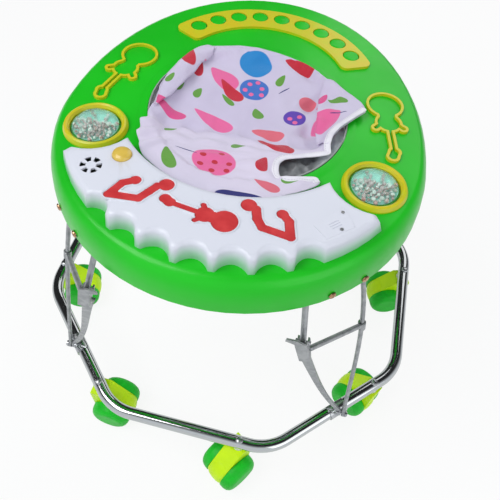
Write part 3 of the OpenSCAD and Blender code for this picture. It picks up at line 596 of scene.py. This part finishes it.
depsgraph = bpy.context.evaluated_depsgraph_get()
sewn_mesh = bpy.data.meshes.new_from_object(seat_cover.evaluated_get(depsgraph))
seat_cover.modifiers.clear()
seat_cover.shape_key_clear()
seat_cover.data = sewn_mesh
bpy.context.scene.frame_set(1)

# The cover stays above the bead and the deck, and behind the panel's inner edge.
bead_inside, bead_outside, bead_top = 0.115, 0.131, 0.4834
deck_top, panel_edge = 0.4796, 0.1476
for vertex in seat_cover.data.vertices:
    from_middle = vertex.co.xy - opening
    reach = from_middle.length
    if reach > bead_inside:
        vertex.co.z = max(vertex.co.z, bead_top if reach < bead_outside else deck_top)
    if vertex.co.y < -0.11 and reach > panel_edge:
        vertex.co.xy = opening + from_middle * (panel_edge / reach)
cover_path = [seat_cover.data.vertices[i].co.copy() for i in range(len(cover_edge))]
cover_surface = bvhtree.BVHTree.FromPolygons([v.co.copy() for v in seat_cover.data.vertices],
                                             [tuple(p.vertices) for p in seat_cover.data.polygons])


def finish_piece(piece, *modifiers):
    """Adds modifiers, applies them in turn and shades the piece smooth."""
    pick(piece)
    for kind, settings in modifiers:
        made = piece.modifiers.new(kind.lower(), kind)
        for setting, value in settings.items():
            setattr(made, setting, value)
        bpy.ops.object.modifier_apply(modifier=made.name)
    bpy.ops.object.shade_smooth()


finish_piece(seat_cover, ("SUBSURF", {"levels": 1, "render_levels": 1}))
# The gathering thread draws the left edge up into three short ruffles.
for vertex in seat_cover.data.vertices:
    from_middle = vertex.co.xy - opening
    turn = math.degrees(math.atan2(from_middle.y, from_middle.x)) % 360
    inward = max(0, 124 - from_middle.length / MM)
    drawn = min(1, max(0, (turn - 202) / 4)) * min(1, max(0, (231 - turn) / 4))
    crest = 0.5 + 0.5 * math.cos(math.radians(turn - 208.4) * 360 / 8.5)
    vertex.co.z += 5.0 * crest ** 1.4 * drawn * math.exp(-(inward / 17) ** 2) * MM
finish_piece(seat_cover, ("SOLIDIFY", {"thickness": 0.0012, "offset": -1}))


def sew_in(piece):
    """The piece rides on the tray, with a mesh of its own."""
    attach(piece, "tray")
    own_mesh(piece)


sew_in(seat_cover)


# The print: balls, drops, petals and leaves, scattered on the flat cloth.
cotton = Finish("seat_print", Roughness=0.82, Sheen_Weight=0.2, Sheen_Roughness=0.5)
cut = cotton.node("ShaderNodeUVMap", {"uv_map": "cut"}, {})
cut_x, cut_y, _ = cotton.parts(cut)
cut_x, cut_y = (cut_x - 0.5) * 1000, (cut_y - 0.5) * 1000


def motif(x, y, turn, length, width, taper=0.0, bend=0.0):
    """A mask for an oval at x, y; taper draws one end to a point and bend curves it."""
    c, s = math.cos(math.radians(turn)), math.sin(math.radians(turn))
    along = ((cut_x - x) * c + (cut_y - y) * s) / length
    across = ((cut_y - y) * c - (cut_x - x) * s) / width
    if bend:
        across = across + (along * along - 0.3) * bend
    if taper:
        across = across / (1 - along * taper).most(0.08)
    return (along * along + across * across).ease(1.06, 0.94)


pink, rose, crimson = linear(232, 104, 160), linear(222, 80, 142), linear(196, 34, 56)
blue, deep_blue, violet = linear(30, 134, 204), linear(58, 112, 196), linear(92, 62, 176)
leaf, navy, blush = linear(98, 158, 60), linear(48, 50, 120), linear(222, 106, 124)
print_motifs = [
    # x, y, turn, length, width, taper, bend, colour
    (-14, 84, 0, 23, 20, 0, 0, blue), (-6, 42, 0, 20, 19, 0, 0, deep_blue),
    (58, 6, 0, 15, 14, 0, 0, violet), (-16, -119, 0, 24, 24, 0, 0, pink),
    (-52, 48, 150, 24, 13, 0.45, 0.2, pink), (-36, 30, 145, 22, 8, 0.5, 0.3, crimson),
    (-92, 58, 105, 20, 8, 0.55, 0.2, crimson), (-44, -30, 158, 30, 9, 0.6, 0.15, pink),
    (-98, -34, 170, 22, 7, 0.3, 0.5, rose), (30, -34, 176, 22, 9, 0.4, 0.2, blush),
    (46, -62, 155, 27, 10, 0.2, -0.3, crimson), (38, -108, 95, 14, 7, 0.3, 0.4, crimson),
    (104, -6, 50, 20, 16, 0.5, 0.1, pink), (92, 30, 60, 11, 6, 0.4, 0, rose),
    (46, 92, 165, 22, 7, 0.2, 0.2, crimson), (70, 40, 20, 12, 10, 0.3, 0, blush),
    (-64, -138, 110, 17, 8, 0.5, 0.2, leaf), (8, 2, 125, 10, 7, 0.4, 0.2, leaf),
    (-36, 14, 140, 13, 4, 0.4, 0.1, leaf), (-82, -66, 40, 9, 5, 0.4, 0.2, leaf),
    (112, 26, 160, 13, 4.5, 0.4, 0, leaf), (76, -128, 20, 12, 5, 0.5, 0, leaf),
    (26, 66, 70, 10, 5, 0.4, 0.1, leaf), (-76, 8, 80, 9, 5, 0.4, 0.1, leaf),
    (-48, -112, 176, 12, 0.9, 0, 0, navy), (34, 52, 52, 10, 0.8, 0, 0, navy),
    (-104, 44, 8, 8, 0.8, 0, 0, navy), (116, 4, 6, 10, 0.8, 0, 0, navy),
    # The long navy streak at 26, -168 along the front edge is painted shadow between the cloth and the panel,
    # in the print's navy.
    (26, -168, 4, 30, 6, 0.2, 0.1, navy), (-100, 6, 75, 9, 4, 0.3, 0, leaf),
    (2, -78, 10, 9, 5, 0.5, 0, leaf), (50, -144, 160, 17, 6, 0.5, 0.2, blush)]
# Painted shade and light: the cloth is darker behind the fold and lighter on the front tongue.
cloth_with_painted_shade = cotton.mix(cut_y.ease(-70, -52), linear(220, 212, 232), linear(204, 196, 222))
worn = cotton.noise(5, 2, 0.5, cut)
cloth_with_painted_shade = cotton.mix(worn.ease(0.3, 0.75), cloth_with_painted_shade, linear(212, 205, 226))
for x, y, turn, length, width, taper, bend, colour in print_motifs:
    cloth_with_painted_shade = cotton.mix(motif(x, y, turn, length, width, taper, bend), cloth_with_painted_shade, colour)
print_dots = [(-30, -112, crimson), (-16, -135, crimson), (0, -116, crimson), (-12, -102, crimson),
              (-30, -128, crimson), (0, -130, crimson), (-16, -119, crimson),
              (-14, 50, pink), (4, 46, pink), (-8, 32, pink), (6, 34, pink), (-18, 38, pink), (-4, 56, pink),
              (52, 4, pink), (64, 10, pink), (60, -2, pink)]
for x, y, colour in print_dots:
    cloth_with_painted_shade = cotton.mix(motif(x, y, 0, 3.4, 3.4), cloth_with_painted_shade, colour)
cotton.feed("Base Color", cloth_with_painted_shade)
weave = cotton.node("ShaderNodeTexWave", {"wave_type": "BANDS", "bands_direction": "X"},
                    {"Vector": cut, "Scale": 900.0, "Distortion": 0.6})
weft = cotton.node("ShaderNodeTexWave", {"wave_type": "BANDS", "bands_direction": "Y"},
                   {"Vector": cut, "Scale": 900.0, "Distortion": 0.6})
creases = cotton.noise(26, 3, 0.55, cut)
cotton.bump(weave * weft * 0.25 + creases * 3, 0.35, 0.0012)
cotton.on(seat_cover)


# ---------- folded cloth ----------
# Two tongues of the same cloth lie folded over the cover: a narrow one along its left side, and
# the corner that is pulled over the rim at the right.


cloth_lift = 1.9


def folded_over(name, edge, raised, shift):
    """Cloth laid on the cover inside an edge; raised(x, y) is how far it stands up, in millimetres."""
    corners, triangles = cloth_net(spaced([(x, y, 0) for x, y in edge + edge[:1]], 4), 4)
    points = []
    for p in corners:
        hit = cover_surface.ray_cast(Vector((p.x, p.y, 600)) * MM, Vector((0, 0, -1)))[0]
        if hit is None:
            hit = cover_surface.find_nearest(Vector((p.x, p.y, 483)) * MM)[0]
        points.append(Vector((p.x, p.y, hit.z / MM + cloth_lift + raised(p.x, p.y))) * MM)
    piece = new_piece(name, (points, triangles), cotton)
    layer = piece.data.uv_layers.new(name="cut")
    for loop in piece.data.loops:
        p = corners[loop.vertex_index]
        layer.data[loop.index].uv = (p + Vector(shift)) * MM + Vector((0.5, 0.5))
    finish_piece(piece, ("SUBSURF", {"levels": 1, "render_levels": 1}),
                 ("SOLIDIFY", {"thickness": 0.0012, "offset": 1}))
    sew_in(piece)


def side_arch(x, y):
    """A round-backed fold, 30 mm wide, that fades out at both ends."""
    along = min(1, max(0, (y + 50) / 132))
    centre = -101 + 20 * along * along
    return 5.5 * max(0, 1 - ((x - centre) / 15) ** 2) * math.sin(math.pi * along)


def corner_curl(x, y):
    """A curl along the corner's crease, which lies flat again at both ends."""
    from_crease = x - (82 + 0.0035 * (y - 10) ** 2)
    return (4.5 * math.exp(-max(0, from_crease) / 9) * min(1, max(0, (66 - y) / 20))
            * min(1, max(0, (y + 60) / 26)))


flap_edge = [(-108, -50), (-112, -20), (-112, 10), (-106, 34), (-98, 56), (-90, 72), (-80, 82),
             (-70, 80), (-72, 68), (-80, 50), (-86, 26), (-90, 4), (-98, -24)]
corner_edge = [(80, 64), (79, 40), (80, 18), (82, -4), (85, -24), (91, -44), (99, -57), (103, -56),
               (105, -40), (112, -24), (125, -5), (138, 14), (131, 27), (119, 38), (106, 47), (90, 60)]
folded_over("seat_flap", flap_edge, side_arch, (6, 4))
folded_over("seat_corner", corner_edge, corner_curl, (10, -2))


# ---------- leg opening's binding ----------
# White tape is folded over the raw edge of the leg opening and of the raised corner, and stitched.

tape_finish = Finish("seat_tape", Roughness=0.75)
along, across, _ = tape_finish.parts(tape_finish.node("ShaderNodeUVMap", {"uv_map": "run"}, {}))
dash = tape_finish.node("ShaderNodeMath", {"operation": "FRACT"}, {0: along / 0.0028})
stitches = abs(dash - 0.5).ease(0.38, 0.32) * abs(across - 0.72).ease(0.075, 0.045)
tape_white = tape_finish.mix(tape_finish.noise(50, 3).ease(0.3, 0.7),
                             linear(236, 234, 242), linear(224, 222, 232))
tape_finish.feed("Base Color", tape_finish.mix(stitches * 0.5, tape_white, linear(186, 184, 198)))
tape_finish.bump(tape_finish.noise(700, 2) * 0.5 + stitches, 0.4, 0.0006)


def binding(name, path, over, wide, thick):
    """Tape folded over an edge, with the cloth to its left, over(i, p) above the cover."""
    outline = [(1.0, 0.9), (0.5, 1.25), (0.0, 1.0), (-0.14, 0.0), (0.0, -1.0), (0.5, -1.25), (1.0, -0.9)]
    tape = bmesh.new()
    run_layer = tape.loops.layers.uv.new("run")
    rings, places, length = [], {}, 0.0
    for i, p in enumerate(path):
        length += (p - path[max(i - 1, 0)]).length
        run = (path[min(i + 1, len(path) - 1)] - path[max(i - 1, 0)]).normalized()
        # The tape leans the way the cloth beside it slopes.
        reach = p + Vector((-run.y, run.x, 0)).normalized() * wide * 0.7
        probe = cover_surface.find_nearest(reach)[0] + Vector((0, 0, over(i, reach)))
        p = p + Vector((0, 0, over(i, p)))
        lean = probe - p
        lean = (lean - run * lean.dot(run)).normalized()
        up = run.cross(lean).normalized()
        if up.z < 0:
            up = -up
        ring = [tape.verts.new(p + lean * wide * a + up * thick * b) for a, b in outline]
        places.update({corner: (length, a) for corner, (a, _) in zip(ring, outline)})
        rings.append(ring)
    for first, second in zip(rings, rings[1:]):
        for k in range(len(outline)):
            nxt = (k + 1) % len(outline)
            tape.faces.new((first[k], first[nxt], second[nxt], second[k]))
    tape.faces.new(rings[0])
    tape.faces.new(rings[-1])
    for face in tape.faces:
        for loop in face.loops:
            loop[run_layer].uv = places[loop.vert]
    bmesh.ops.recalc_face_normals(tape, faces=tape.faces)
    piece = new_piece(name, tape, tape_finish)
    finish_piece(piece, ("SUBSURF", {"levels": 1, "render_levels": 1}))
    sew_in(piece)


# The binding runs round the leg opening and then up on the corner's edge, to its tip.
tape_from, corner_at, tape_to = (
    min(range(len(cover_edge)), key=lambda i: (cover_edge[i] - Vector(end)).length)
    for end in (cover_front[-1], cover_corner[0], cover_corner[-1]))


def over_corner(i, p):
    """Nothing along the leg opening, then a step up onto the corner's cloth."""
    onto_corner = min(1, max(0, (tape_from + i - corner_at + 3) / 4))
    return (cloth_lift + 0.7 + corner_curl(p.x / MM, p.y / MM)) * onto_corner * MM


binding("leg_binding", cover_path[tape_from:tape_to + 1], over_corner, 0.0075, 0.0012)


# ---------- crumpled lining ----------
# Under the leg opening the inner lining is pushed up and crumpled, so it fills the opening. Its grey
# is painted shade, and its paler side is painted light, where light comes through it.

lining_edge = spaced([(40, -124, 0), (56, -124, 0), (80, -106, 0), (97, -88, 0), (108, -68, 0), (115, -46, 0),
                      (118, -24, 0), (118, -8, 0), (110, 0, 0), (96, -20, 0), (84, -44, 0), (62, -62, 0),
                      (40, -74, 0), (30, -98, 0), (40, -124, 0)], 3)
corners, triangles = cloth_net(lining_edge, 3)
lining_points = []
for p in corners:
    crumple = noise.multi_fractal(Vector((p.x, p.y, 4)) / 17, 0.7, 2.2, 4) * 4.5
    crease = abs(noise.noise(Vector((p.x, p.y, 9)) / 11)) * 7
    above = cover_surface.ray_cast(Vector((p.x, p.y, 300)) * MM, Vector((0, 0, 1)))[0]
    ceiling = above.z / MM - 4 if above else 479
    pushed = 462 + 8 * min(1, max(0, (p.x - 92) / 18))
    lining_points.append(Vector((p.x, p.y, min(pushed + crumple - crease, ceiling))) * MM)
crumpled = Finish("seat_lining_painted_shade", Roughness=0.45)
painted_light_towards_side, _, _ = crumpled.parts(crumpled.place())
# Painted shade makes the lining grey; painted light makes it paler towards the side.
crumpled.feed("Base Color", crumpled.mix(
    painted_light_towards_side.ease(0.088, 0.104),
    crumpled.mix(crumpled.noise(40, 3).ease(0.3, 0.7), linear(156, 158, 160), linear(124, 127, 129)),
    crumpled.mix(crumpled.noise(55, 3).ease(0.3, 0.7), linear(224, 232, 234), linear(196, 206, 208))))
crumpled.bump(crumpled.noise(160, 3), 0.5, 0.0015)
seat_lining = new_piece("seat_lining", (lining_points, triangles), crumpled)
finish_piece(seat_lining, ("SUBSURF", {"levels": 1, "render_levels": 1}),
             ("SOLIDIFY", {"thickness": 0.0008, "offset": -1}))
sew_in(seat_lining)


# ---------- seat bag ----------
# The bag under the cover is plain lining cloth, gathered into the rim, with a hole for each leg.

# How far from the middle each of its rings lies and how high, in millimetres, from the rim down.
bag_levels = [(120.2, 481.6), (120.2, 476), (120.0, 462), (119.0, 446), (117, 430), (113.5, 412), (109, 394),
              (103, 376), (95, 358), (85, 345), (72, 336), (56, 331), (38, 328.5), (18, 328)]
around = 144
bag = bmesh.new()
rings = []
for k, (reach, height) in enumerate(bag_levels):
    ring = []
    for i in range(around):
        turn = 2 * math.pi * i / around
        # Pleats and slow waves that begin below the rim and die out at the bottom.
        drop = min(1, k / 7)
        fold = math.sin(23 * turn + 1.2 * math.sin(3 * turn)) * 0.9 + math.sin(9 * turn + k * 0.25) * 1.2
        dent = noise.noise(Vector((math.cos(turn) * 2.2, math.sin(turn) * 2.2, k * 0.35))) * 3
        r = reach - 2.2 * drop + (fold * drop * 0.8 + dent * drop) * min(1, reach / 60)
        place = (r * math.cos(turn) * MM, r * math.sin(turn) * MM + opening.y, height * MM)
        ring.append(bag.verts.new(place))
    rings.append(ring)
for outer, inner in zip(rings, rings[1:]):
    for i in range(around):
        nxt = (i + 1) % around
        bag.faces.new((outer[i], inner[i], inner[nxt], outer[nxt]))
middle = bag.verts.new((0, opening.y, bag_levels[-1][1] * MM))
for i in range(around):
    bag.faces.new((rings[-1][i], middle, rings[-1][(i + 1) % around]))
bmesh.ops.recalc_face_normals(bag, faces=bag.faces)
seat_bag = new_piece("seat_bag", bag)
finish_piece(seat_bag, ("SUBSURF", {"levels": 1, "render_levels": 1}),
             ("SOLIDIFY", {"thickness": 0.0014, "offset": -1}))
# A cylinder that leans out and forward cuts each leg hole.
hole_radius, hole_x, hole_y, hole_z = 0.040, 0.062, -0.095, 0.362
lean_out, lean_forward = math.radians(40), math.radians(35)
for side in (-1, 1):
    bpy.ops.object.select_all(action="DESELECT")
    bpy.ops.mesh.primitive_cylinder_add(vertices=64, radius=hole_radius, depth=0.24)
    cutter = bpy.context.object
    cutter.matrix_world = (Matrix.Translation((side * hole_x, hole_y, hole_z))
                           @ Matrix.Rotation(side * lean_out, 4, "Y") @ Matrix.Rotation(lean_forward, 4, "X"))
    finish_piece(seat_bag, ("BOOLEAN", {"object": cutter, "operation": "DIFFERENCE", "solver": "EXACT"}))
    bpy.data.objects.remove(cutter)
pick(seat_bag)
bpy.ops.object.shade_smooth_by_angle(angle=math.radians(50))
lining = Finish("seat_lining", Roughness=0.7, Sheen_Weight=0.15)
faded = lining.noise(24, 2)
_, _, up = lining.parts(lining.place())
lining_white = lining.mix(faded.ease(0.35, 0.7), linear(240, 242, 242), linear(222, 228, 226))
# The hem at the rim is painted grey as shade, like the crumpled inner lining.
lining.feed("Base Color", lining.mix(up.ease(0.472, 0.478), lining_white, linear(150, 158, 154)))
lining.bump(lining.noise(45, 4) * 2 + lining.noise(900, 1) * 0.3, 0.35, 0.0015)
lining.on(seat_bag)
sew_in(seat_bag)
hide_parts("seat")
